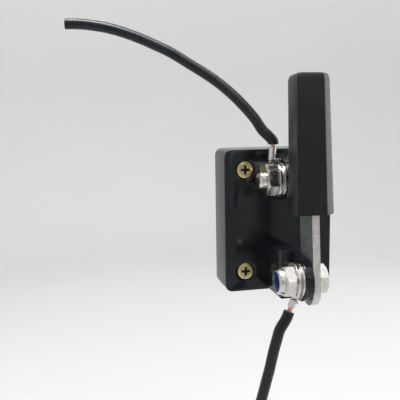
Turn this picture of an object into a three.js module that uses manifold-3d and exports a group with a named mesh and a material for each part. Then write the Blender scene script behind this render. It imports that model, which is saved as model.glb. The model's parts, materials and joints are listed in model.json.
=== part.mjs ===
// Knife-type isolating switch for an electric fence: a moulded base with two bolt lugs,
// a steel blade with a hood-shaped handle that turns on the lower bolt, and two cable leads.
// Millimetres. X runs along the bolts, Y points into the post, Z is up.
// The origin is the middle of the flat back of the base. The switch is drawn closed.
import * as THREE from 'three';
import { mergeVertices } from 'three/addons/utils/BufferGeometryUtils.js';
import Module from 'manifold-3d';

const wasm = await Module();
wasm.setup();

// ---------------------------------------------------------------- driving sizes
const GAP = 0.3; // air between pieces that touch in life

const BASE = { width: 68, height: 87, depth: 24, corner: 5, fillet: 1, wall: 3, plate: 4 };
const RIB = 2.2;
const SCREW_AT = { x: -21, z: 31.3 }; // the second screw is at -z
const SCREW = { headR: 5.1, seatR: 5.7, recess: 0.9, headDepth: 3.2, shankR: 2.4, length: 45 };
const BOSS_R = 8.5;

const EAR = { left: -2.6, right: 1.4, radius: 11.7, root: 13.9 }; // root: half height where it leaves
// Ring lug of each bolt: its barrel begins at reach from the bolt and out to the left of the ring,
// leans outwards by lean degrees and is barrel long; then bare conductor shows before the jacket.
const TERMINAL = { // upper bolt
  y: -37, z: 26.2, reach: 11, out: 3.5, lean: -6, barrel: 7.4, bare: 1.3, tongue: 1.4,
};
const PIVOT = { // lower bolt
  y: -66, z: -26.4, reach: 10.4, out: 0, lean: 23, barrel: 4.0, bare: 2.8, tongue: 2.6,
};
const BLOCK = {
  left: -8.7, front: -52.9, wall: 2.6,
  bottom: PIVOT.z - EAR.root - 0.8,
  top: PIVOT.z + EAR.root,
};

const BOLT = { r: 5, across: 16, head: 5.2 }; // M10 hardware
const BORE_R = BOLT.r + GAP;
const NUT_TURN = THREE.MathUtils.degToRad(18); // brings one corner round to the front
const WASHER = { r: 10, bore: 5.3, thick: 1.6 };
const LUG = { ring: 8.4, thick: 1, tongue: 4.4, barrelR: 2.1, boreR: 1.6, root: 0.8 };

const BLADE = { left: EAR.right + GAP, thick: 4.2, half: 8.8, heel: 5.5, top: 103 };
const ARM = { rear: 34.5, low: 43.2, high: 68.4, corner: 9 };
const SLOT = BOLT.r + 0.6; // half width of the notch that closes over the upper bolt
const LEAN = THREE.MathUtils.degToRad(4.5); // closed lever leans towards the post

const HOOD = { low: 36.5, high: 111.5, front: -12.9, wall: 2.4, round: 1.1 };
// hood section at its open lower end and at its closed upper end
const HOOD_LOW = { left: -8.1, right: 8.7, chamferX: 6.2, chamferY: 5.5, rear: 0.8 };
const HOOD_TOP = { left: -6.2, right: 8.4, chamferX: 5.0, chamferY: 4.5, rear: 2.6 };
const GRIP_SCREWS = [56, 92]; // heights of the two screws that hold the blade in the hood
const GRIP_Y = -4; // the grip screws stand forward of the blade's middle, inside the hood
const GRIP = { bossR: 4.2, shankR: 1.9, headR: 3.4, headDepth: 2 };

const CABLE_R = 3.1;
const CONDUCTOR_R = 1.45;
const SIDES = 48;

// ---------------------------------------------------------------- helpers
function solid(geometry) {
  const g = geometry.clone();
  g.deleteAttribute('normal');
  g.deleteAttribute('uv');
  const m = mergeVertices(g, 1e-5);
  return new wasm.Manifold(
    new wasm.Mesh({
      numProp: 3,
      vertProperties: new Float32Array(m.attributes.position.array),
      triVerts: new Uint32Array(m.index.array),
    }),
  );
}

function geometryOf(manifold) {
  const mesh = manifold.getMesh();
  const g = new THREE.BufferGeometry();
  g.setAttribute('position', new THREE.BufferAttribute(new Float32Array(mesh.vertProperties), 3));
  g.setIndex(new THREE.BufferAttribute(new Uint32Array(mesh.triVerts), 1));
  g.computeVertexNormals();
  return g;
}

function union(first, ...rest) {
  return rest.reduce((sum, next) => sum.add(next), first);
}

function cut(body, ...tools) {
  return tools.reduce((left, tool) => left.subtract(tool), body);
}

// closed solid through rings of equally many points, each ring convex
function loft(rings) {
  const n = rings[0].length;
  const points = rings.flat();
  const index = [];
  for (let k = 0; k < rings.length - 1; k += 1) {
    for (let i = 0; i < n; i += 1) {
      const a = k * n + i;
      const b = k * n + ((i + 1) % n);
      index.push(a, b, b + n, a, b + n, a + n);
    }
  }
  const last = (rings.length - 1) * n;
  for (let i = 1; i < n - 1; i += 1) {
    index.push(0, i + 1, i);
    index.push(last, last + i, last + i + 1);
  }
  const g = new THREE.BufferGeometry().setFromPoints(points);
  g.setIndex(index);
  return g;
}

function block(x0, x1, y0, y1, z0, z1) {
  const g = new THREE.BoxGeometry(x1 - x0, y1 - y0, z1 - z0);
  g.translate((x0 + x1) / 2, (y0 + y1) / 2, (z0 + z1) / 2);
  return g;
}

// revolve [radius, distance] pairs about the X axis through (y, z)
function alongX(profile, y, z, sides = SIDES) {
  const g = new THREE.LatheGeometry(profile.map(([r, h]) => new THREE.Vector2(r, h)), sides);
  g.rotateZ(-Math.PI / 2);
  g.translate(0, y, z);
  return g;
}

// the same about the Y axis through (x, z)
function alongY(profile, x, z, sides = SIDES) {
  const g = new THREE.LatheGeometry(profile.map(([r, h]) => new THREE.Vector2(r, h)), sides);
  g.translate(x, 0, z);
  return g;
}

function rodX(x0, x1, r, y, z, sides = SIDES) {
  return alongX([[0, x0], [r, x0], [r, x1], [0, x1]], y, z, sides);
}

function rodY(y0, y1, r, x, z, sides = SIDES) {
  return alongY([[0, y0], [r, y0], [r, y1], [0, y1]], x, z, sides);
}

// plate with an outline given as [y, z] and its faces at x0 and x1
function plateX(shape, x0, x1) {
  const g = new THREE.ExtrudeGeometry(shape, { depth: x1 - x0, bevelEnabled: false, curveSegments: 24 });
  const toYZ = new THREE.Matrix4().makeBasis(
    new THREE.Vector3(0, 1, 0),
    new THREE.Vector3(0, 0, 1),
    new THREE.Vector3(1, 0, 0),
  );
  g.applyMatrix4(toYZ);
  g.translate(x0, 0, 0);
  return g;
}

function shapeOf(pairs) {
  return new THREE.Shape(pairs.map(([y, z]) => new THREE.Vector2(y, z)));
}

// move every side of a convex polygon inwards and give its corners a radius
function insetRounded(corners, inset, radius, steps) {
  const n = corners.length;
  const moved = corners.map((corner, i) => {
    const before = corners[(i + n - 1) % n];
    const after = corners[(i + 1) % n];
    const d1 = corner.clone().sub(before).normalize();
    const d2 = after.clone().sub(corner).normalize();
    const n1 = new THREE.Vector2(-d1.y, d1.x);
    const n2 = new THREE.Vector2(-d2.y, d2.x);
    const bisector = n1.add(n2).divideScalar(1 + n1.dot(n2));
    return corner.clone().addScaledVector(bisector, inset);
  });
  const out = [];
  for (let i = 0; i < n; i += 1) {
    const corner = moved[i];
    const toBefore = moved[(i + n - 1) % n].clone().sub(corner).normalize();
    const toAfter = moved[(i + 1) % n].clone().sub(corner).normalize();
    const half = Math.acos(THREE.MathUtils.clamp(toBefore.dot(toAfter), -1, 1)) / 2;
    const reach = radius / Math.tan(half);
    const start = corner.clone().addScaledVector(toBefore, reach);
    const end = corner.clone().addScaledVector(toAfter, reach);
    const curve = new THREE.QuadraticBezierCurve(start, corner, end);
    out.push(...curve.getPoints(steps));
  }
  return out;
}

function hexPrism(x0, x1, y, z, turn, profile) {
  const g = new THREE.CylinderGeometry(1, 1, x1 - x0, 6);
  const corner = BOLT.across / Math.sqrt(3);
  g.scale(corner, 1, corner);
  g.rotateZ(-Math.PI / 2);
  g.rotateX(turn);
  g.translate((x0 + x1) / 2, y, z);
  return solid(g).intersect(solid(alongX(profile, y, z)));
}

// ---------------------------------------------------------------- base moulding
function baseRings(inset0, y0, y1, fillet) {
  const w = BASE.width / 2;
  const h = BASE.height / 2;
  const corners = [[-w, -h], [w, -h], [w, h], [-w, h]].map(([x, z]) => new THREE.Vector2(x, z));
  const ring = (inset, y) => insetRounded(corners, inset0 + inset, Math.max(BASE.corner - inset0 - inset, 1), 6)
    .map((p) => new THREE.Vector3(p.x, y, p.y));
  const rings = [ring(0, y0), ring(0, y1 + fillet)];
  if (fillet > 0) {
    for (const step of [0.35, 0.7, 1]) {
      const angle = step * Math.PI / 2;
      rings.push(ring(fillet * (1 - Math.cos(angle)), y1 + fillet * (1 - Math.sin(angle))));
    }
  }
  return rings;
}

// outline of one bolt lug: a round end about the bolt, running out wider to its root
function earShape(bolt, rootY, rootHalf) {
  const steps = 30;
  const rootLow = new THREE.Vector2(rootY, bolt.z - rootHalf);
  const rootHigh = new THREE.Vector2(rootY, bolt.z + rootHalf);
  const pairs = [[rootLow.x, rootLow.y]];
  for (let i = 0; i <= steps; i += 1) {
    const angle = -Math.PI / 2 - Math.PI * (i / steps);
    pairs.push([bolt.y + EAR.radius * Math.cos(angle), bolt.z + EAR.radius * Math.sin(angle)]);
  }
  pairs.push([rootHigh.x, rootHigh.y]);
  return shapeOf(pairs.reverse());
}

function screwHole(x, z) {
  const front = -BASE.depth;
  const seat = front + SCREW.recess;
  const throat = seat + SCREW.headDepth;
  const r = SCREW.shankR + 0.4;
  return solid(alongY([
    [0, front - 1], [SCREW.seatR + 0.9, front - 1], [SCREW.seatR + 0.9, front], [SCREW.seatR, front + 0.5],
    [SCREW.seatR, seat + 0.7], [r, throat + 0.7], [r, 1], [0, 1],
  ], x, z));
}

// The base, the upper ear and the block with the lower ear are one moulding in life. They are
// three nodes that meet at the front of the base, so that each collides with its own shape.
function baseMoulding() {
  const { width, height, depth, wall, plate } = BASE;
  const back = 1;
  const shell = solid(loft(baseRings(0, 0, -depth, BASE.fillet)));
  const hollow = solid(loft(baseRings(wall, back, -depth + plate, 0)));
  const inner = { w: width / 2 - wall + 0.5, h: height / 2 - wall + 0.5, y: -depth + plate - 0.5 };
  const ribs = union(
    solid(block(-RIB / 2 - 6, RIB / 2 - 6, inner.y, 0, -inner.h, inner.h)),
    solid(block(15 - RIB / 2, 15 + RIB / 2, inner.y, 0, -inner.h, inner.h)),
    solid(block(-inner.w, inner.w, inner.y, 0, -RIB / 2, RIB / 2)),
    solid(rodY(inner.y, 0, BOSS_R, SCREW_AT.x, SCREW_AT.z)),
    solid(rodY(inner.y, 0, BOSS_R, SCREW_AT.x, -SCREW_AT.z)),
  );
  return cut(
    union(shell.subtract(hollow), ribs),
    blockCore(back),
    screwHole(SCREW_AT.x, SCREW_AT.z),
    screwHole(SCREW_AT.x, -SCREW_AT.z),
  );
}

function ear(bolt, rootY) {
  const plate = solid(plateX(earShape(bolt, rootY, EAR.root), EAR.left, EAR.right));
  return plate.subtract(solid(rodX(EAR.left - 1, EAR.right + 1, BORE_R, bolt.y, bolt.z)));
}

function pivotEarBlock() {
  const shell = solid(loft([
    blockRing(-BASE.depth, 0),
    blockRing(BLOCK.front + 1, 0),
    blockRing(BLOCK.front + 0.3, 0.3),
    blockRing(BLOCK.front, 1),
  ]));
  return union(shell.subtract(blockCore(-BASE.depth + 1)), ear(PIVOT, BLOCK.front + 1));
}

// hollow of the block, open at the back of the base
function blockCore(back) {
  return solid(block(
    BLOCK.left + BLOCK.wall, EAR.right - BLOCK.wall,
    BLOCK.front + BLOCK.wall, back, BLOCK.bottom + BLOCK.wall, BLOCK.top - BLOCK.wall,
  ));
}

// section of the block that carries the lower lug; its right side stays flush with the lug
function blockRing(y, inset) {
  const corners = [
    [BLOCK.left + inset, BLOCK.bottom + inset], [EAR.right, BLOCK.bottom + inset],
    [EAR.right, BLOCK.top - inset], [BLOCK.left + inset, BLOCK.top - inset],
  ].map(([x, z]) => new THREE.Vector2(x, z));
  return insetRounded(corners, 0, 0.8, 2).map((p) => new THREE.Vector3(p.x, y, p.y));
}

// ---------------------------------------------------------------- fasteners
function woodScrew(z) {
  const top = -BASE.depth + SCREW.recess;
  const neck = top + SCREW.headDepth;
  const tip = top + SCREW.length;
  const body = solid(alongY([
    [0, top - 0.25], [SCREW.headR - 1.2, top - 0.2], [SCREW.headR, top + 0.15], [SCREW.headR, top + 0.55],
    [SCREW.shankR, neck], [SCREW.shankR, tip - 8], [0, tip],
  ], SCREW_AT.x, z, 32));
  const slot = { half: 0.75, long: 2.7, deep: 1.9 };
  const bar = (hx, hz) => solid(block(
    SCREW_AT.x - hx, SCREW_AT.x + hx, top - 1, top + slot.deep, z - hz, z + hz,
  ));
  return cut(body, bar(slot.long, slot.half), bar(slot.half, slot.long));
}

function hexBolt(bolt, headLeft, tip, turn) {
  const chamfer = 1.1;
  const flat = BOLT.across / 2 - 0.3;
  const full = BOLT.across / Math.sqrt(3) + 0.1;
  const headRight = headLeft + BOLT.head;
  const head = hexPrism(headLeft, headRight, bolt.y, bolt.z, turn, [
    [0, headLeft], [full, headLeft], [full, headRight - 1.3], [flat, headRight], [0, headRight],
  ]);
  const shank = solid(alongX([
    [0, tip], [BOLT.r - chamfer, tip], [BOLT.r, tip + chamfer], [BOLT.r, headLeft + 1], [0, headLeft + 1],
  ], bolt.y, bolt.z));
  return head.add(shank);
}

function hexNut(bolt, x0, x1, turn) {
  const flat = BOLT.across / 2 - 0.2;
  const full = BOLT.across / Math.sqrt(3) + 0.1;
  const nut = hexPrism(x0, x1, bolt.y, bolt.z, turn, [
    [0, x0], [flat, x0], [full, x0 + 1.2], [full, x1 - 0.8], [flat + 0.6, x1], [0, x1],
  ]);
  return nut.subtract(solid(rodX(x0 - 1, x1 + 1, BORE_R, bolt.y, bolt.z)));
}

function washer(bolt, x0, thick = WASHER.thick, r = WASHER.r) {
  const e = 0.2;
  return alongX([
    [WASHER.bore, x0], [r - e, x0], [r, x0 + e], [r, x0 + thick - e], [r - e, x0 + thick],
    [WASHER.bore, x0 + thick], [WASHER.bore, x0],
  ], bolt.y, bolt.z);
}

function springWasher(bolt, x0) {
  const ring = solid(washer(bolt, x0, 2.2, 8.2));
  const gap = block(x0 - 1, x0 + 4, bolt.y - 0.5, bolt.y + 0.5, bolt.z - 12, bolt.z);
  return ring.subtract(solid(gap));
}

const NYLOC = { hex: 6, collar: 3.4, collarR: 7.1, lip: 1 };

function nylocNut(x1) {
  const x0 = x1 - NYLOC.hex;
  const tip = x0 - NYLOC.collar;
  const { y, z } = PIVOT;
  const hex = hexNut(PIVOT, x0, x1, NUT_TURN);
  const collar = solid(alongX([
    [BORE_R, tip], [NYLOC.collarR - 0.9, tip], [NYLOC.collarR, tip + 0.9],
    [NYLOC.collarR + 0.2, x0 + 0.6], [BORE_R, x0 + 0.6], [BORE_R, tip],
  ], y, z));
  const seat = solid(rodX(tip + NYLOC.lip, x0, NYLOC.collarR - 0.9, y, z));
  const mouth = solid(rodX(tip - 1, tip + 2, NYLOC.collarR - 1.4, y, z));
  return cut(hex.add(collar), seat, mouth);
}

function nylocInsert(x1) {
  const x0 = x1 - NYLOC.hex;
  const tip = x0 - NYLOC.collar;
  return alongX([
    [BORE_R, tip + NYLOC.lip + GAP], [NYLOC.collarR - 1.2, tip + NYLOC.lip + GAP],
    [NYLOC.collarR - 1.2, x0 - GAP], [BORE_R, x0 - GAP], [BORE_R, tip + NYLOC.lip + GAP],
  ], PIVOT.y, PIVOT.z);
}

// ---------------------------------------------------------------- ring lugs and leads
// side is +1 where the lead leaves upwards and -1 where it leaves downwards
function lugFrame(bolt, x0, side) {
  const lean = THREE.MathUtils.degToRad(bolt.lean);
  const left = x0 + LUG.thick / 2 - 0.9 - bolt.out;
  const start = new THREE.Vector3(left, bolt.y, bolt.z + side * bolt.reach);
  const along = new THREE.Vector3(-Math.sin(lean), 0, side * Math.cos(lean));
  return { start, along };
}

function rodBetween(from, to, r, sides = 16) {
  const length = from.distanceTo(to);
  const g = new THREE.CylinderGeometry(r, r, length, sides);
  const turn = new THREE.Quaternion().setFromUnitVectors(
    new THREE.Vector3(0, 1, 0),
    to.clone().sub(from).normalize(),
  );
  g.applyQuaternion(turn);
  g.translate((from.x + to.x) / 2, (from.y + to.y) / 2, (from.z + to.z) / 2);
  return g;
}

function ringLug(bolt, x0, side) {
  const { start, along } = lugFrame(bolt, x0, side);
  const from = start.clone().addScaledVector(along, LUG.root);
  const end = from.clone().addScaledVector(along, bolt.barrel);
  const ring = solid(rodX(x0, x0 + LUG.thick, LUG.ring, bolt.y, bolt.z, 40));
  const half = LUG.tongue / 2;
  const strip = (x, from0, to0) => {
    const [low, high] = [bolt.z + side * from0, bolt.z + side * to0].sort((p, q) => p - q);
    return solid(block(x, x0 + LUG.thick, bolt.y - half, bolt.y + half, low, high));
  };
  const tongue = strip(x0, 6, bolt.reach + bolt.tongue);
  const step = strip(Math.min(start.x - 1, x0), bolt.reach - 0.6, bolt.reach + bolt.tongue);
  const barrel = solid(rodBetween(from, end, LUG.barrelR));
  const past = end.clone().addScaledVector(along, 2);
  const before = from.clone().addScaledVector(along, -4);
  return cut(
    union(ring, tongue, bolt.out > 0 ? union(step, barrel) : barrel),
    solid(rodBetween(before, past, LUG.boreR)),
    solid(rodX(x0 - 1, x0 + 2, BORE_R, bolt.y, bolt.z)),
  );
}

function conductor(bolt, x0, side) {
  const { start, along } = lugFrame(bolt, x0, side);
  const from = start.clone().addScaledVector(along, 0.4);
  const to = start.clone().addScaledVector(along, LUG.root + bolt.barrel + bolt.bare);
  return rodBetween(from, to, CONDUCTOR_R, 12);
}

// routes start at the lug and are read outwards; only the first point follows from the lug
function leadRoute(bolt, x0, side, rest) {
  const { start, along } = lugFrame(bolt, x0, side);
  const first = start.clone().addScaledVector(along, LUG.root + bolt.barrel + bolt.bare + GAP);
  return [first, ...rest.map(([x, y, z]) => new THREE.Vector3(x, y, z))];
}

const UPPER_ROUTE = [
  [-8.2, -37.0, 48.6], [-10.8, -36.6, 51.7],
  [-13.9, -34.8, 55.2], [-17.7, -32.0, 61.8], [-24.2, -28.0, 70.3], [-30.7, -24.0, 77.5],
  [-37.3, -20.4, 83.6], [-44.2, -17.5, 88.8], [-51.4, -15.0, 93.6], [-62.7, -11.4, 101.0],
  [-71.5, -9.0, 105.5], [-80.0, -7.0, 109.4], [-88.5, -5.4, 112.7], [-97.1, -3.9, 115.3],
  [-105.6, -2.4, 117.0], [-114.1, -1.1, 118.0], [-122.6, 0.0, 118.2],
];

const LOWER_ROUTE = [
  [-10.4, -66.0, -47.8],
  [-14.2, -66.0, -54.0], [-15.8, -65.6, -59.8], [-17.2, -65.0, -65.7], [-18.4, -64.4, -71.7],
  [-19.5, -63.7, -77.8], [-20.8, -62.9, -83.9], [-22.1, -62.0, -90.2], [-23.4, -61.0, -96.6],
  [-25.2, -59.6, -104.5], [-27.2, -58.0, -113.0], [-29.2, -56.2, -121.8], [-31.2, -54.4, -130.8],
  [-33.2, -52.7, -140.0], [-35.2, -51.0, -149.4], [-37.1, -49.5, -159.0], [-39.0, -48.2, -168.8],
  [-40.8, -47.0, -178.8],
];

function sheath(points, steps) {
  const section = new THREE.Shape();
  const sides = 10;
  for (let i = 0; i < sides; i += 1) {
    const angle = (i / sides) * Math.PI * 2;
    const x = CABLE_R * Math.cos(angle);
    const y = CABLE_R * Math.sin(angle);
    if (i === 0) {
      section.moveTo(x, y);
    } else {
      section.lineTo(x, y);
    }
  }
  const extrudePath = new THREE.CatmullRomCurve3(points);
  return new THREE.ExtrudeGeometry(section, { steps, bevelEnabled: false, extrudePath });
}

// ---------------------------------------------------------------- lever, pivot at its origin
// notch that closes over the upper bolt, an arc about the pivot, open towards the post
function notchShape() {
  const dy = TERMINAL.y - PIVOT.y;
  const dz = TERMINAL.z - PIVOT.z;
  const radius = Math.hypot(dy, dz);
  const angle = Math.atan2(dz, dy) + LEAN;
  const open = angle - 0.5;
  const shape = new THREE.Shape();
  shape.absarc(0, 0, radius + SLOT, open, angle, false);
  shape.absarc(radius * Math.cos(angle), radius * Math.sin(angle), SLOT, angle, angle + Math.PI, false);
  shape.absarc(0, 0, radius - SLOT, angle, open, true);
  return shape;
}

function bladeGeometry() {
  const { half, heel, top } = BLADE;
  const bar = new THREE.Shape();
  bar.moveTo(half, -heel);
  bar.lineTo(half, ARM.low - 6);
  bar.quadraticCurveTo(half, ARM.low, half + 6, ARM.low);
  bar.lineTo(ARM.rear - 5, ARM.low);
  bar.quadraticCurveTo(ARM.rear, ARM.low, ARM.rear, ARM.low + 5);
  bar.lineTo(ARM.rear, ARM.high - ARM.corner);
  bar.quadraticCurveTo(ARM.rear, ARM.high, ARM.rear - ARM.corner, ARM.high);
  bar.lineTo(half + 6, ARM.high);
  bar.quadraticCurveTo(half, ARM.high, half, ARM.high + 6);
  bar.lineTo(half, top - 3);
  bar.quadraticCurveTo(half, top, half - 3, top);
  bar.lineTo(-half + 3, top);
  bar.quadraticCurveTo(-half, top, -half, top - 3);
  bar.lineTo(-half, -heel);
  bar.absarc(0, -heel, half, Math.PI, 2 * Math.PI, false);
  const x0 = BLADE.left;
  const x1 = BLADE.left + BLADE.thick;
  const holes = GRIP_SCREWS.map((z) => solid(rodX(x0 - 1, x1 + 1, GRIP.shankR + GAP, GRIP_Y, z, 24)));
  return geometryOf(cut(
    solid(plateX(bar, x0, x1)),
    solid(plateX(notchShape(), x0 - 1, x1 + 1)),
    solid(rodX(x0 - 1, x1 + 1, BORE_R, 0, 0)),
    ...holes,
  ));
}

function hoodCorners(z, rearExtra = 0) {
  const t = (z - HOOD.low) / (HOOD.high - HOOD.low);
  const at = (key) => THREE.MathUtils.lerp(HOOD_LOW[key], HOOD_TOP[key], t);
  const outer = at('right') + at('chamferX');
  return [
    [at('left'), HOOD.front], [at('right'), HOOD.front], [outer, HOOD.front + at('chamferY')],
    [outer, at('rear') + rearExtra], [at('left'), at('rear') + rearExtra],
  ].map(([x, y]) => new THREE.Vector2(x, y));
}

function hoodRing(z, inset, radius, rearExtra = 0) {
  return insetRounded(hoodCorners(z, rearExtra), inset, radius, 4).map((p) => new THREE.Vector3(p.x, p.y, z));
}

function hoodGeometry() {
  const crown = 4;
  const rings = [hoodRing(HOOD.low, 0, HOOD.round), hoodRing(HOOD.high - crown, 0, HOOD.round)];
  for (const step of [0.25, 0.5, 0.75, 0.95]) {
    const angle = step * Math.PI / 2;
    const z = HOOD.high - crown * (1 - Math.sin(angle));
    rings.push(hoodRing(z, 2.6 * (1 - Math.cos(angle)), HOOD.round));
  }
  const open = 12;
  const cavity = loft([
    hoodRing(HOOD.low - 1, HOOD.wall, 0.6, open),
    hoodRing(HOOD.high - 5, HOOD.wall, 0.6, open),
  ]);
  const bladeX0 = BLADE.left - GAP;
  const bladeX1 = BLADE.left + BLADE.thick + GAP;
  const inside = solid(loft([hoodRing(HOOD.low, 0.5, HOOD.round), hoodRing(HOOD.high - 2, 0.5, HOOD.round)]));
  const bosses = GRIP_SCREWS.map((z) => {
    const left = solid(rodX(-12, bladeX0, GRIP.bossR, GRIP_Y, z, 28));
    const right = solid(rodX(bladeX1, 20, GRIP.bossR, GRIP_Y, z, 28));
    return left.add(right).intersect(inside);
  });
  const bores = GRIP_SCREWS.flatMap((z) => [
    solid(rodX(HOOD_LOW.left + 3.4, 30, GRIP.shankR + GAP, GRIP_Y, z, 24)),
    solid(rodX(gripSeat(z) - GRIP.headDepth, 30, GRIP.headR + GAP, GRIP_Y, z, 24)),
  ]);
  return geometryOf(cut(union(solid(loft(rings)).subtract(solid(cavity)), ...bosses), ...bores));
}

// the hood's right side at a given height
function gripSeat(z) {
  return hoodCorners(z)[2].x - 0.4;
}

function gripScrew(z) {
  const right = gripSeat(z) - GAP;
  const left = HOOD_LOW.left + 4;
  const neck = right - GRIP.headDepth + GAP + 0.3;
  const body = solid(alongX([
    [0, left], [GRIP.shankR - 0.6, left], [GRIP.shankR, left + 1], [GRIP.shankR, neck],
    [GRIP.headR, neck], [GRIP.headR, right - 0.5], [GRIP.headR - 0.6, right], [0, right],
  ], GRIP_Y, z, 24));
  const bar = (hy, hz) => solid(block(right - 1, right + 1, GRIP_Y - hy, GRIP_Y + hy, z - hz, z + hz));
  return geometryOf(cut(body, bar(1.9, 0.5), bar(0.5, 1.9)));
}

// ---------------------------------------------------------------- materials and scene
const paint = (name, color, roughness, metalness) => {
  const m = new THREE.MeshStandardMaterial({ color, roughness, metalness });
  m.name = name;
  return m;
};
const blackPlastic = paint('black_plastic', 0x15171a, 0.28, 0);
const hoodPlastic = paint('hood_plastic', 0x1a1a1b, 0.42, 0);
const zinc = paint('bright_zinc', 0xc9c6bd, 0.28, 1);
const yellowZinc = paint('yellow_zinc', 0xb9a860, 0.35, 1);
const bladeSteel = paint('blade_steel', 0x9a9b93, 0.5, 1);
const blueNylon = paint('blue_nylon', 0x24439a, 0.45, 0);
const tin = paint('tinned_copper', 0xd2d0ca, 0.3, 1);
const copper = paint('copper_strand', 0xb8764f, 0.4, 1);
const jacket = paint('cable_jacket', 0x141416, 0.38, 0);

const group = new THREE.Group();

function add(name, geometry, material, parent = group) {
  const mesh = new THREE.Mesh(geometry, material);
  mesh.name = name;
  parent.add(mesh);
}

add('base_moulding', geometryOf(baseMoulding()), blackPlastic);
add('terminal_ear', geometryOf(ear(TERMINAL, -BASE.depth)), blackPlastic);
add('pivot_ear_block', geometryOf(pivotEarBlock()), blackPlastic);
add('mounting_screw_upper', geometryOf(woodScrew(SCREW_AT.z)), yellowZinc);
add('mounting_screw_lower', geometryOf(woodScrew(-SCREW_AT.z)), yellowZinc);

// stack on the left of a lug, read from the lug outwards: washer, ring lug, washer, nut
const air = 0.06;
const innerWasher = EAR.left - air - WASHER.thick;
const lugX = innerWasher - air - LUG.thick;
const outerWasher = lugX - air - WASHER.thick;
const nutFace = outerWasher - air;

const headX = BLADE.left + BLADE.thick + 0.2;
add('pivot_bolt', geometryOf(hexBolt(PIVOT, headX, nutFace - NYLOC.hex - 0.6, NUT_TURN - 0.09)), zinc);
add('pivot_washer_inner', washer(PIVOT, innerWasher), zinc);
add('pivot_ring_lug', geometryOf(ringLug(PIVOT, lugX, -1)), tin);
add('pivot_washer_outer', washer(PIVOT, outerWasher), zinc);
add('pivot_nyloc_nut', geometryOf(nylocNut(nutFace)), zinc);
add('pivot_nyloc_insert', nylocInsert(nutFace), blueNylon);
add('pivot_conductor', conductor(PIVOT, lugX, -1), copper);
add('pivot_lead', sheath(leadRoute(PIVOT, lugX, -1, LOWER_ROUTE), 56), jacket);

const contactWasher = headX;
const spring = contactWasher + WASHER.thick + air;
const terminalHead = spring + 2.2 + air;
const terminalNut = { face: nutFace, thick: 6.4, stickOut: 4 };
const terminalTip = nutFace - terminalNut.thick - terminalNut.stickOut;
add('terminal_bolt', geometryOf(hexBolt(TERMINAL, terminalHead, terminalTip, 0.3)), zinc);
add('terminal_contact_washer', washer(TERMINAL, contactWasher), zinc);
add('terminal_spring_washer', geometryOf(springWasher(TERMINAL, spring)), zinc);
add('terminal_washer_inner', washer(TERMINAL, innerWasher), zinc);
add('terminal_ring_lug', geometryOf(ringLug(TERMINAL, lugX, 1)), tin);
add('terminal_washer_outer', washer(TERMINAL, outerWasher), zinc);
const terminalNutLeft = terminalNut.face - terminalNut.thick;
add('terminal_nut', geometryOf(hexNut(TERMINAL, terminalNutLeft, terminalNut.face, -0.2)), zinc);
add('terminal_conductor', conductor(TERMINAL, lugX, 1), copper);
add('terminal_lead', sheath(leadRoute(TERMINAL, lugX, 1, UPPER_ROUTE), 60), jacket);

const lever = new THREE.Group();
lever.position.set(0, PIVOT.y, PIVOT.z);
lever.rotation.x = -LEAN;
group.add(lever);
add('blade', bladeGeometry(), bladeSteel, lever);
add('handle_hood', hoodGeometry(), hoodPlastic, lever);
add('handle_screw_lower', gripScrew(GRIP_SCREWS[0]), zinc, lever);
add('handle_screw_upper', gripScrew(GRIP_SCREWS[1]), zinc, lever);

export default group;
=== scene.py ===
# Looks of the post-mounted knife isolating switch. Metres, in the CAD's own frame:
# X along the two bolts, Y into the post, Z up.
import bmesh
import bpy
import json
import math
from mathutils import Matrix, Vector


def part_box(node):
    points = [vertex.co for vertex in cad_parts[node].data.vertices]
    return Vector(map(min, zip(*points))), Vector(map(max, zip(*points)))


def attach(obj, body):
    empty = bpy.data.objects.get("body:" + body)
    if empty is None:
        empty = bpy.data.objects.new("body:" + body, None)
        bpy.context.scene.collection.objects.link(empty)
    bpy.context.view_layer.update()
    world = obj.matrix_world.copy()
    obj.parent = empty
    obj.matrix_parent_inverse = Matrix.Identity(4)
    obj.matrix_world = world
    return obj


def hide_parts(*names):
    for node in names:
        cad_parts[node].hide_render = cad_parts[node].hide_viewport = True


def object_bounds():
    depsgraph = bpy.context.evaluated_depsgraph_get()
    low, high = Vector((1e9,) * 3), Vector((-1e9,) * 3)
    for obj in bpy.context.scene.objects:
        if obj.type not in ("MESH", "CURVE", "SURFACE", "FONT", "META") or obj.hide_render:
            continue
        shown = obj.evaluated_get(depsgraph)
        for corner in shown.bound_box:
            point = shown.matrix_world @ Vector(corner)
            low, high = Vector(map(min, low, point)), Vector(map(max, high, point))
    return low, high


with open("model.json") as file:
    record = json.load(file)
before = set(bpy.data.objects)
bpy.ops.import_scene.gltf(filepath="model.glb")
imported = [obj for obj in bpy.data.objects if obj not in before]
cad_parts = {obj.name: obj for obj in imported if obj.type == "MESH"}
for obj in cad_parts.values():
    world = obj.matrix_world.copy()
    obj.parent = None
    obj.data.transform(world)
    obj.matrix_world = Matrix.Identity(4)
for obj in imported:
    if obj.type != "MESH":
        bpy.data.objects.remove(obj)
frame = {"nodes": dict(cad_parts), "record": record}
CAD_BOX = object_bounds()

MM = 0.001


# ---------------------------------------------------------------- camera
# place in metres, angles in degrees: yaw from +Y towards +X, pitch downwards; lens in millimetres
CAMERA = {"at": (-0.1211, -0.3659, 0.0662), "yaw": 11.87, "pitch": 8.42, "roll": -1.0, "lens": 53.58}


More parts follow.
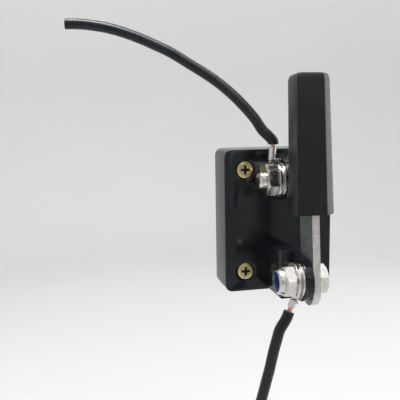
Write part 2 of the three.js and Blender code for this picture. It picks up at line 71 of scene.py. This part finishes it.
def make_camera():
    """Camera at the left front of the switch, a little above it, looking slightly down."""
    yaw, pitch, roll = (math.radians(CAMERA[key]) for key in ("yaw", "pitch", "roll"))
    ahead = Vector((math.sin(yaw) * math.cos(pitch), math.cos(yaw) * math.cos(pitch), -math.sin(pitch)))
    level = Vector((math.cos(yaw), -math.sin(yaw), 0))
    upright = level.cross(ahead)
    right = level * math.cos(roll) + upright * math.sin(roll)
    up = upright * math.cos(roll) - level * math.sin(roll)
    data = bpy.data.cameras.new("camera")
    data.lens = CAMERA["lens"]
    data.sensor_width = 36
    data.clip_start = 0.01
    camera = bpy.data.objects.new("camera", data)
    turn = Matrix((right, up, -ahead)).transposed().to_4x4()
    camera.matrix_world = Matrix.Translation(CAMERA["at"]) @ turn
    bpy.context.scene.collection.objects.link(camera)
    bpy.context.scene.camera = camera


make_camera()


# ---------------------------------------------------------------- materials
class Finish:
    """A Principled material whose colour, roughness and relief come from object-space noise."""

    def __init__(self, name, metallic=0.0, specular=0.5):
        self.material = bpy.data.materials.new(name)
        self.material.use_nodes = True
        self.nodes = self.material.node_tree.nodes
        self.links = self.material.node_tree.links
        self.shader = self.nodes["Principled BSDF"]
        self.shader.inputs["Metallic"].default_value = metallic
        self.shader.inputs["Specular IOR Level"].default_value = specular
        self.place = self.nodes.new("ShaderNodeTexCoord").outputs["Object"]

    def stretched(self, scale):
        mapping = self.nodes.new("ShaderNodeMapping")
        mapping.inputs["Scale"].default_value = scale
        self.links.new(self.place, mapping.inputs["Vector"])
        return mapping.outputs["Vector"]

    def noise(self, scale, detail=3.0, rough=0.5, stretch=None):
        node = self.nodes.new("ShaderNodeTexNoise")
        node.inputs["Scale"].default_value = scale
        node.inputs["Detail"].default_value = detail
        node.inputs["Roughness"].default_value = rough
        self.links.new(self.stretched(stretch) if stretch else self.place, node.inputs["Vector"])
        return node.outputs["Fac"]

    def colour(self, field, stops):
        ramp = self.nodes.new("ShaderNodeValToRGB")
        elements = ramp.color_ramp.elements
        while len(elements) < len(stops):
            elements.new(0.5)
        for element, (place, rgb) in zip(elements, stops):
            element.position = place
            element.color = (*rgb, 1)
        self.links.new(field, ramp.inputs["Fac"])
        self.links.new(ramp.outputs["Color"], self.shader.inputs["Base Color"])
        return self

    def roughness(self, field, low, high):
        spread = self.nodes.new("ShaderNodeMapRange")
        spread.inputs["From Min"].default_value = 0.3
        spread.inputs["From Max"].default_value = 0.7
        spread.inputs["To Min"].default_value = low
        spread.inputs["To Max"].default_value = high
        self.links.new(field, spread.inputs["Value"])
        self.links.new(spread.outputs["Result"], self.shader.inputs["Roughness"])
        return self

    def relief(self, field, strength, depth):
        bump = self.nodes.new("ShaderNodeBump")
        bump.inputs["Strength"].default_value = strength
        bump.inputs["Distance"].default_value = depth
        self.links.new(field, bump.inputs["Height"])
        self.links.new(bump.outputs["Normal"], self.shader.inputs["Normal"])
        return self


def gloss_black():
    look = Finish("gloss_black", specular=0.3)
    look.colour(look.noise(60), [(0.35, (0.007, 0.008, 0.010)), (0.7, (0.013, 0.014, 0.017))])
    look.roughness(look.noise(180, 4), 0.10, 0.20)
    return look.relief(look.noise(90, 2), 0.25, 0.0006).material


def hood_black():
    look = Finish("hood_black", specular=0.26)
    look.colour(look.noise(220, 5), [(0.35, (0.006, 0.006, 0.006)), (0.72, (0.013, 0.0125, 0.012))])
    look.roughness(look.noise(300, 4), 0.28, 0.40)
    return look.relief(look.noise(1500, 3), 0.18, 0.0002).material


def bright_zinc():
    look = Finish("bright_zinc", metallic=1.0)
    look.colour(look.noise(300, 4), [(0.3, (0.50, 0.49, 0.46)), (0.7, (0.66, 0.65, 0.62))])
    look.roughness(look.noise(500, 3), 0.17, 0.30)
    return look.relief(look.noise(230, 2), 0.22, 0.0003).material


def yellow_zinc():
    look = Finish("yellow_zinc", metallic=1.0)
    tones = [
        (0.30, (0.60, 0.44, 0.20)), (0.46, (0.64, 0.52, 0.26)),
        (0.60, (0.50, 0.52, 0.28)), (0.74, (0.68, 0.42, 0.26)),
    ]
    look.colour(look.noise(260, 3), tones)
    look.roughness(look.noise(800, 3), 0.24, 0.42)
    return look.relief(look.noise(900, 3), 0.3, 0.00015).material


def blade_steel():
    look = Finish("blade_steel", metallic=0.85, specular=0.4)
    tones = [(0.32, (0.15, 0.17, 0.16)), (0.52, (0.23, 0.25, 0.24)), (0.72, (0.33, 0.34, 0.32))]
    look.colour(look.noise(330, 6, 0.7), tones)
    look.roughness(look.noise(500, 5), 0.38, 0.60)
    return look.relief(look.noise(620, 5, 0.7), 0.5, 0.0002).material


def sheared_edge():
    look = Finish("sheared_edge", metallic=0.85, specular=0.4)
    look.colour(look.noise(400, 5), [(0.3, (0.50, 0.50, 0.48)), (0.7, (0.68, 0.67, 0.64))])
    look.roughness(look.noise(500, 4, stretch=(1, 1, 0.2)), 0.34, 0.5)
    return look.relief(look.noise(700, 3, stretch=(3, 1, 0.3)), 0.3, 0.0002).material


def tinned_copper():
    look = Finish("tinned_copper", metallic=1.0)
    look.colour(look.noise(600, 4), [(0.35, (0.60, 0.58, 0.55)), (0.7, (0.84, 0.82, 0.79))])
    look.roughness(look.noise(900, 3), 0.22, 0.42)
    return look.relief(look.noise(700, 4), 0.5, 0.0003).material


def copper_strand():
    look = Finish("copper_strand", metallic=1.0)
    look.colour(look.noise(900, 3), [(0.35, (0.72, 0.40, 0.28)), (0.7, (0.92, 0.68, 0.56))])
    look.roughness(look.noise(900, 3), 0.25, 0.45)
    return look.relief(look.noise(1500, 2), 0.2, 0.0001).material


def blue_nylon():
    look = Finish("blue_nylon", specular=0.5)
    look.colour(look.noise(500, 3), [(0.35, (0.010, 0.030, 0.16)), (0.7, (0.02, 0.07, 0.32))])
    look.roughness(look.noise(900, 3), 0.35, 0.5)
    return look.relief(look.noise(1200, 3), 0.2, 0.0001).material


def cable_jacket():
    look = Finish("cable_jacket", specular=0.32)
    look.colour(look.noise(120, 3), [(0.35, (0.006, 0.007, 0.009)), (0.7, (0.011, 0.012, 0.015))])
    look.roughness(look.noise(350, 4), 0.24, 0.38)
    return look.relief(look.noise(260, 3), 0.22, 0.0004).material


# Painted shade: a dark, dull material for the inside of the screws' cross recesses, standing in for the
# shadow there.
def painted_recess_shade():
    look = Finish("painted_recess_shade", metallic=0.6, specular=0.2)
    look.colour(look.noise(900, 3), [(0.3, (0.020, 0.017, 0.012)), (0.7, (0.060, 0.050, 0.030))])
    look.roughness(look.noise(900, 3), 0.5, 0.7)
    return look.relief(look.noise(1200, 2), 0.2, 0.0001).material


def backdrop():
    look = Finish("backdrop", specular=0.1)
    look.colour(look.noise(1.5, 2), [(0.3, (0.54, 0.54, 0.54)), (0.7, (0.56, 0.56, 0.56))])
    look.shader.inputs["Roughness"].default_value = 0.9
    return look.material


LOOKS = {
    "black_plastic": gloss_black(), "hood_plastic": hood_black(), "bright_zinc": bright_zinc(),
    "yellow_zinc": yellow_zinc(), "blade_steel": blade_steel(), "blue_nylon": blue_nylon(),
    "tinned_copper": tinned_copper(), "copper_strand": copper_strand(), "cable_jacket": cable_jacket(),
    "painted_recess_shade": painted_recess_shade(), "sheared_edge": sheared_edge(),
}


# ---------------------------------------------------------------- the two leads, route points as in the CAD
# LEADS is in millimetres and degrees. The axis of a lug's barrel starts at lug and leans towards -X.
# The barrel ends LUG_ROOT + barrel along it, then the conductor is bare, then the jacket begins.
LEAD_DIAMETER = 6.2 * MM
STRAND_RADIUS = 0.29 * MM
LUG_ROOT = 0.8
JACKET_GAP = 0.3
# how far the core of the cut end reaches into the jacket and stands out of it
CORE_INSIDE = 3 * MM
CORE_PROUD = 0.25 * MM
UPPER_ROUTE = [
    (-8.2, -37.0, 48.6), (-10.8, -36.6, 51.7),
    (-13.9, -34.8, 55.2), (-17.7, -32.0, 61.8), (-24.2, -28.0, 70.3), (-30.7, -24.0, 77.5),
    (-37.3, -20.4, 83.6), (-44.2, -17.5, 88.8), (-51.4, -15.0, 93.6), (-62.7, -11.4, 101.0),
    (-71.5, -9.0, 105.5), (-80.0, -7.0, 109.4), (-88.5, -5.4, 112.7), (-97.1, -3.9, 115.3),
    (-105.6, -2.4, 117.0), (-114.1, -1.1, 118.0), (-122.6, 0.0, 118.2),
]
LOWER_ROUTE = [
    (-10.4, -66.0, -47.8),
    (-14.2, -66.0, -54.0), (-15.8, -65.6, -59.8), (-17.2, -65.0, -65.7), (-18.4, -64.4, -71.7),
    (-19.5, -63.7, -77.8), (-20.8, -62.9, -83.9), (-22.1, -62.0, -90.2), (-23.4, -61.0, -96.6),
    (-25.2, -59.6, -104.5), (-27.2, -58.0, -113.0), (-29.2, -56.2, -121.8), (-31.2, -54.4, -130.8),
    (-33.2, -52.7, -140.0), (-35.2, -51.0, -149.4), (-37.1, -49.5, -159.0), (-39.0, -48.2, -168.8),
    (-40.8, -47.0, -178.8),
]
LEADS = {
    "terminal": {
        "lug": (-9.22, -37.0, 37.2), "lean": -6, "side": 1, "barrel": 7.4, "bare": 1.3,
        "strands_from": -0.7, "route": UPPER_ROUTE, "lay": "loose",
    },
    "pivot": {
        "lug": (-5.72, -66.0, -36.8), "lean": 23, "side": -1, "barrel": 4.0, "bare": 2.8,
        "strands_from": 0.5, "route": LOWER_ROUTE, "lay": "hanging",
    },
}


def lug_axis(lead):
    """Start of the lug's barrel and the direction that it points in."""
    lean = math.radians(lead["lean"])
    return Vector(lead["lug"]), Vector((-math.sin(lean), 0, lead["side"] * math.cos(lean)))


def link(obj):
    bpy.context.scene.collection.objects.link(obj)
    return obj


def curve_piece(name, splines, radius, look, kind, resolution):
    """A curve of that radius through the points of each spline, smooth if its kind is BEZIER."""
    data = bpy.data.curves.new(name, "CURVE")
    data.dimensions = "3D"
    data.bevel_depth = radius
    data.bevel_resolution = resolution
    data.resolution_u = 8
    data.use_fill_caps = True
    for points in splines:
        spline = data.splines.new(kind)
        if kind == "BEZIER":
            spline.bezier_points.add(len(points) - 1)
            for knot, point in zip(spline.bezier_points, points):
                knot.co = point
                knot.handle_left_type = "AUTO"
                knot.handle_right_type = "AUTO"
        else:
            spline.points.add(len(points) - 1)
            for knot, point in zip(spline.points, points):
                knot.co = (*point, 1)
    data.materials.append(look)
    return link(bpy.data.objects.new(name, data))


def twisted(start, end, count, ring_radius, turns):
    """Strands wound about the line from start to end."""
    steps = 12
    axis = (end - start).normalized()
    side = axis.cross(Vector((0, 1, 0))).normalized()
    other = axis.cross(side)
    strands = []
    for strand in range(count):
        points = []
        for step in range(steps + 1):
            t = step / steps
            angle = 2 * math.pi * (strand / count + turns * t)
            offset = side * math.cos(angle) + other * math.sin(angle)
            points.append(start.lerp(end, t) + offset * ring_radius)
        strands.append(points)
    return strands


def strand_bundle(name, start, end):
    """A stranded conductor: five strands inside a ring of eleven."""
    core = twisted(start, end, count=5, ring_radius=0.45 * MM, turns=0.35)
    rim = twisted(start, end, count=11, ring_radius=1.12 * MM, turns=0.45)
    return curve_piece(name, core + rim, STRAND_RADIUS, LOOKS["copper_strand"], "POLY", 2)


def make_lead(name, lead):
    """The jacket of a lead, its bare strands at the lug and the core at its cut end."""
    start, along = lug_axis(lead)
    bare_end = LUG_ROOT + lead["barrel"] + lead["bare"]
    jacket = start + along * (bare_end + JACKET_GAP)
    points = [point * MM for point in [jacket, *map(Vector, lead["route"])]]
    cable = curve_piece(name + "_cable", [points], LEAD_DIAMETER / 2, LOOKS["cable_jacket"], "BEZIER", 7)
    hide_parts(name + "_lead")
    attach(cable, "base")
    inner = (start + along * lead["strands_from"]) * MM
    outer = (start + along * bare_end) * MM
    bundle = strand_bundle(name + "_strands", inner, outer)
    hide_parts(name + "_conductor")
    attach(bundle, "base")
    end = points[-1]
    tail = (end - points[-2]).normalized()
    core = strand_bundle(name + "_cut_core", end - tail * CORE_INSIDE, end + tail * CORE_PROUD)
    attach(core, "base")


for lead_name, lead_facts in LEADS.items():
    make_lead(lead_name, lead_facts)


# ---------------------------------------------------------------- CAD nodes, clean and with softened edges
# EDGE and FINE_EDGE are the widths of the rounded edges in millimetres.
EDGE = {
    "moulding": 0.4, "handle_hood": 0.5, "blade": 0.45, "terminal_nut": 0.3, "pivot_nyloc_nut": 0.3,
    "terminal_bolt": 0.3, "pivot_bolt": 0.3, "pivot_ring_lug": 0.2, "terminal_ring_lug": 0.2,
}
FINE_EDGE = 0.12
# Edges that turn by more than SHARP are rounded, and those by less than FLAT are merged away.
SHARP = math.radians(32)
FLAT = math.radians(0.6)
MOULDED = ["base_moulding", "terminal_ear", "pivot_ear_block"]
MADE_AFRESH = ["terminal_lead", "pivot_lead", "terminal_conductor", "pivot_conductor"]


def clean_copy(name, node):
    """A copy of a CAD node's mesh with its flat faces merged, so that edges can be rounded."""
    mesh = frame["nodes"][node].data.copy()
    mesh.name = name
    edit = bmesh.new()
    edit.from_mesh(mesh)
    bmesh.ops.remove_doubles(edit, verts=edit.verts, dist=1e-6)
    bmesh.ops.dissolve_limit(edit, angle_limit=FLAT, verts=edit.verts, edges=edit.edges)
    edit.to_mesh(mesh)
    edit.free()
    mesh.materials.clear()
    return link(bpy.data.objects.new(name, mesh))


def soften(obj, width):
    """Smooth shading with its sharp edges rounded to width millimetres."""
    for polygon in obj.data.polygons:
        polygon.use_smooth = True
    obj.data.set_sharp_from_angle(angle=SHARP)
    bevel = obj.modifiers.new("edges", "BEVEL")
    bevel.width = width * MM
    bevel.segments = 2
    bevel.limit_method = "ANGLE"
    bevel.angle_limit = SHARP
    bevel.harden_normals = True


def moulding():
    """Base, upper ear and ear block as the single moulding that they are in life."""
    parts = [clean_copy(node + "_part", node) for node in MOULDED]
    body = parts[0]
    for part in parts[1:]:
        joint = body.modifiers.new("join", "BOOLEAN")
        joint.operation = "UNION"
        joint.solver = "EXACT"
        joint.object = part
    evaluated = body.evaluated_get(bpy.context.evaluated_depsgraph_get())
    mesh = bpy.data.meshes.new_from_object(evaluated)
    for part in parts:
        bpy.data.objects.remove(part)
    return link(bpy.data.objects.new("moulding", mesh))


def dress(obj, body, slot, width, *nodes):
    """Gives obj its finish and edges, and puts it in the place of these CAD nodes."""
    obj.data.materials.clear()
    obj.data.materials.append(LOOKS[slot])
    soften(obj, width)
    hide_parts(*nodes)
    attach(obj, body)


def paint_recess_shade(obj):
    """Painted shade: the faces inside a screw head's cross recess get a dark, dull material that stands in
    for the shadow in it.
    """
    shallow, deep, reach = 0.55 * MM, 2.4 * MM, 2.9 * MM
    obj.data.materials.append(LOOKS["painted_recess_shade"])
    front = min(vertex.co.y for vertex in obj.data.vertices)
    middle = sum((Vector(corner) for corner in obj.bound_box), Vector()) / 8
    # faces from shallow to deep behind the head's front and within reach of its axis get the painted shade
    for polygon in obj.data.polygons:
        off_axis = math.hypot(polygon.center.x - middle.x, polygon.center.z - middle.z)
        if shallow < polygon.center.y - front < deep and off_axis < reach:
            polygon.material_index = 1


def brighten_edges(obj):
    """The narrow sides of the blade are sheared and lighter than its galvanised faces."""
    obj.data.materials.append(LOOKS["sheared_edge"])
    for polygon in obj.data.polygons:
        if abs(polygon.normal.x) < 0.5:
            polygon.material_index = 1


def dress_nodes():
    slots = {part["node"]: part["material_slot"] for part in frame["record"]["subparts"]}
    bodies = frame["record"]["behaviour"]["bodies"]
    dress(moulding(), "base", "black_plastic", EDGE["moulding"], *MOULDED)
    for body, members in bodies.items():
        for node in members:
            if node in MOULDED or node in MADE_AFRESH:
                continue
            look = clean_copy(node + "_look", node)
            dress(look, body, slots[node], EDGE.get(node, FINE_EDGE), node)
            # painted shade in the cross recesses of the screw heads
            if node.startswith("mounting_screw"):
                paint_recess_shade(look)
            if node == "blade":
                brighten_edges(look)


dress_nodes()


# ---------------------------------------------------------------- threads
# y and z of the upper bolt's axis, and the y where the threads of the two screws begin
TERMINAL_BOLT = (-37.0 * MM, 26.2 * MM)
SCREW_THREAD_FROM = -12 * MM


def thread(name, start, end, radius, pitch, ridge, look, taper=0.0):
    """A helical ridge about the line from start to end, narrowing over the last taper of it."""
    axis = (end - start).normalized()
    side = axis.orthogonal().normalized()
    other = axis.cross(side)
    turns = (end - start).length / pitch
    steps = int(turns * 26)
    points = []
    for step in range(steps + 1):
        t = step / steps
        angle = 2 * math.pi * turns * t
        reach = radius * min(1.0, (1 - t) / taper + 0.08) if taper else radius
        offset = side * math.cos(angle) + other * math.sin(angle)
        points.append(start.lerp(end, t) + offset * reach)
    ridges = curve_piece(name, [points], ridge, LOOKS[look], "POLY", 1)
    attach(ridges, "base")


def threads():
    """Stud thread from inside the nut to the stud's end, and the threads of the two screws."""
    stud_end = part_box("terminal_bolt")[0].x
    nut_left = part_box("terminal_nut")[0].x
    y, z = TERMINAL_BOLT
    start, end = Vector((nut_left + 1.2 * MM, y, z)), Vector((stud_end + 1.0 * MM, y, z))
    thread("stud_thread", start, end, radius=4.74 * MM, pitch=1.5 * MM, ridge=0.36 * MM, look="bright_zinc")
    for which in ("upper", "lower"):
        low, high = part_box("mounting_screw_" + which)
        x, z = (low.x + high.x) / 2, (low.z + high.z) / 2
        start, end = Vector((x, SCREW_THREAD_FROM, z)), Vector((x, high.y, z))
        thread(
            "screw_thread_" + which, start, end, radius=2.4 * MM, pitch=2.2 * MM, ridge=0.28 * MM,
            look="yellow_zinc", taper=0.25,
        )


threads()


# ---------------------------------------------------------------- stage and light
def stage():
    """A round pale studio: a floor that curves up into a wall on every side."""
    low = CAD_BOX[0][2] - 0.06
    reach, bend, high, around = 1.25, 0.4, 1.9, 96
    quarter = [math.pi / 2 * i / 12 for i in range(13)]
    cove = [(reach - bend + bend * math.sin(a), low + bend - bend * math.cos(a)) for a in quarter]
    profile = [(0.001, low), *cove, (reach, high)]
    turns = [2 * math.pi * k / around for k in range(around)]
    vertices = [(r * math.cos(t), r * math.sin(t), z) for r, z in profile for t in turns]
    faces = []
    for ring in range(0, (len(profile) - 1) * around, around):
        for k in range(around):
            after = (k + 1) % around
            faces.append((ring + k, ring + after, ring + around + after, ring + around + k))
    mesh = bpy.data.meshes.new("backdrop")
    mesh.from_pydata(vertices, [], faces)
    mesh.materials.append(backdrop())
    for polygon in mesh.polygons:
        polygon.use_smooth = True
    link(bpy.data.objects.new("backdrop", mesh))


def area_light(name, at, towards, size, power):
    data = bpy.data.lights.new(name, "AREA")
    data.shape = "RECTANGLE"
    data.size, data.size_y = size
    data.energy = power
    lamp = link(bpy.data.objects.new(name, data))
    lamp.visible_camera = False
    lamp.location = at
    lamp.rotation_euler = (Vector(towards) - Vector(at)).to_track_quat("-Z", "Y").to_euler()


def lights():
    world = bpy.data.worlds.new("studio")
    world.use_nodes = True
    sky = world.node_tree.nodes["Background"].inputs
    sky["Color"].default_value = (0.97, 0.98, 1, 1)
    sky["Strength"].default_value = 0.15
    bpy.context.scene.world = world
    switch = (0, -0.03, 0)
    area_light("overhead", (0.0, -0.25, 0.9), switch, (1.2, 0.9), 4.2)
    area_light("strip", (-0.1, -0.10, 0.8), switch, (0.5, 0.12), 7)
    area_light("front", (0.3, -0.95, 0.6), switch, (0.9, 0.5), 1.3)
    area_light("left", (-0.75, -0.35, 0.25), switch, (0.7, 0.8), 0.45)
    area_light("right", (0.8, 0.15, 0.2), switch, (0.5, 0.8), 2.6)
    area_light("wall", (0.0, 0.15, 1.4), (0, 1.2, 0.1), (1.6, 0.4), 17)


stage()
lights()
bpy.context.scene.view_settings.view_transform = "Standard"
